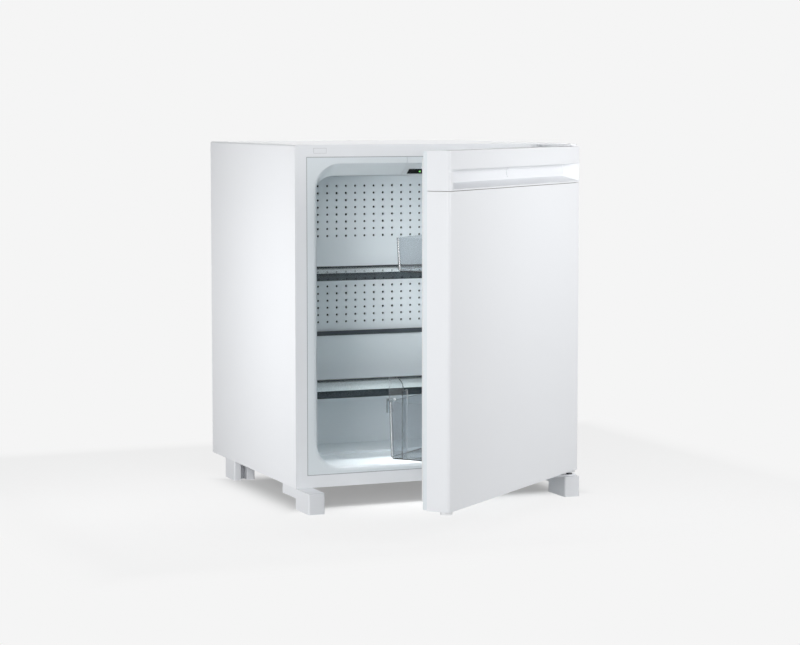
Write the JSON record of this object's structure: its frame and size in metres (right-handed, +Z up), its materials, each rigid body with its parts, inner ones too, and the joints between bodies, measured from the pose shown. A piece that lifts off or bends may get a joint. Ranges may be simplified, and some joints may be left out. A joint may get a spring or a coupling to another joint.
{
  "type": "minibar fridge",
  "caption": "Free-standing white minibar fridge with a hinged door, handle recess, glass shelves, hanging door bins and an absorption cooling unit on the back.",
  "frame": {"origin": "on the floor at the middle of the four fixing holes in the feet", "axes": "+X to the right seen from the front, +Y to the back, +Z up"},
  "size_m": [0.4882, 0.7922, 0.592],
  "materials": {
    "painted_steel": "smooth white powder coat with a faint satin sheen",
    "liner_white": "smooth white moulded plastic",
    "moulded_white": "fine-grained white moulded plastic",
    "bush_plastic": "plain slippery moulded plastic",
    "hinge_paint": "white coated pressed steel",
    "dark_steel": "dark turned steel",
    "galvanised_steel": "zinc coated steel sheet",
    "black_steel": "matt black painted tube and sheet",
    "bare_aluminium": "extruded aluminium, not coated",
    "casing_zinc": "plain zinc coated casing",
    "gasket_rubber": "soft light grey profile",
    "smoked_plastic": "smoked dark plastic",
    "clear_plastic": "clear plastic with a faint smoke tint",
    "shelf_glass": "toughened float glass",
    "foam": "rigid closed-cell foam",
    "window_black": "glossy black window",
    "signal_green": "clear green signal lens",
    "lamp_lens": "frosted lamp lens",
    "board_green": "coated circuit board",
    "black_plastic": "black moulded plastic"
  },
  "bodies": {
    "cabinet": {"outer_casing": "painted_steel", "bottom_pan": "painted_steel", "inner_liner": "liner_white", "perforated_panel": "liner_white", "control_housing": "liner_white", "hinge_slot_cover": "moulded_white", "front_left_foot": "moulded_white", "front_right_foot": "moulded_white", "rear_left_foot": "moulded_white", "rear_right_foot": "moulded_white", "upper_hinge": "hinge_paint", "lower_hinge_bracket": "hinge_paint", "lower_hinge_pin": "dark_steel", "rear_panel": "galvanised_steel", "rear_cross_rail": "galvanised_steel", "unit_straps": "galvanised_steel", "hinge_anchors": "galvanised_steel", "foot_screws": "galvanised_steel", "hinge_screws": "galvanised_steel", "heater_cartridge": "galvanised_steel", "absorber_coil": "black_steel", "absorber_vessel": "black_steel", "condenser_pipe": "black_steel", "condenser_fins": "black_steel", "evaporator_pipes": "black_steel", "evaporator_fins": "bare_aluminium", "boiler_casing": "casing_zinc", "upper_shelf_trim": "smoked_plastic", "lower_shelf_trim": "smoked_plastic", "upper_shelf_rear_strip": "smoked_plastic", "lower_shelf_rear_strip": "smoked_plastic", "drip_channel": "smoked_plastic", "upper_shelf_glass": "shelf_glass", "lower_shelf_glass": "shelf_glass", "insulation": "foam", "control_window": "window_black", "status_led": "signal_green", "interior_lamp": "lamp_lens", "control_board": "board_green", "drain_tube": "black_plastic", "drip_tray": "black_plastic", "terminal_box": "black_plastic", "power_inlet": "black_plastic", "heater_lead": "black_plastic"},
    "door": {"door_skin": "painted_steel", "door_end_cap": "moulded_white", "door_insulation": "foam", "handle_strip": "moulded_white", "handle_strip_end": "moulded_white", "hinge_bush_upper": "bush_plastic", "hinge_bush_lower": "bush_plastic", "spare_hinge_plug": "bush_plastic", "lock_plug": "moulded_white", "door_liner": "liner_white", "door_gasket": "gasket_rubber"},
    "upper_bin": {"upper_bin": "clear_plastic"},
    "lower_bin": {"lower_bin": "clear_plastic"},
    "bottle_stop": {"bottle_stop": "clear_plastic"},
    "power_button": {"power_button": "moulded_white"}
  },
  "joints": [
    {"name": "door_hinge", "type": "hinge", "parent": "cabinet", "child": "door", "pos_m": [0.231, -0.203, 0.3], "axis": [0, 0, 1], "range_deg": [-39.7, 85.3]},
    {"name": "upper_bin_lift", "type": "slide", "parent": "door", "child": "upper_bin", "axis": [0, 0, 1], "range_m": [0, 0.016]},
    {"name": "lower_bin_lift", "type": "slide", "parent": "door", "child": "lower_bin", "axis": [0, 0, 1], "range_m": [0, 0.016]},
    {"name": "bottle_stop_slide", "type": "slide", "parent": "lower_bin", "child": "bottle_stop", "axis": [0.7694, 0.6388, 0], "range_m": [0, 0.34]},
    {"name": "power_button_press", "type": "slide", "parent": "cabinet", "child": "power_button", "axis": [0, 0.5907, 0.8069], "range_m": [0, 0.0012], "stiffness_N_per_m": 500}
  ]
}
